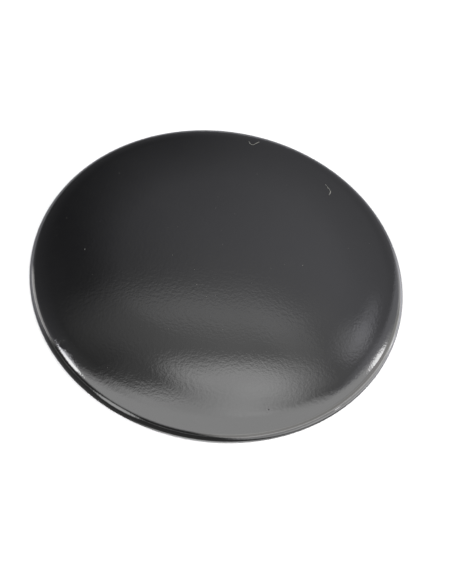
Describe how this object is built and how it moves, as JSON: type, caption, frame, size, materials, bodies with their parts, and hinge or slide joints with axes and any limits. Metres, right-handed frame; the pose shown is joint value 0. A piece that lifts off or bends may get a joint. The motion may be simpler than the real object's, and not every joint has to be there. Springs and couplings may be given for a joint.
{
  "type": "gas burner cap",
  "caption": "Round, gently domed cap with a smoothly rounded rim and a hollow underside, in glossy black enamelled steel, that covers a gas hob burner.",
  "frame": {"origin": "centre of the cap on the plane of its rim's bottom face", "axes": "+Z along the cap's axis, up out of the dome; X and Y across it"},
  "size_m": [0.1, 0.1, 0.008],
  "materials": {
    "enamel": "gloss"
  },
  "bodies": {
    "root": {"burner_cap": "enamel"}
  },
  "joints": []
}
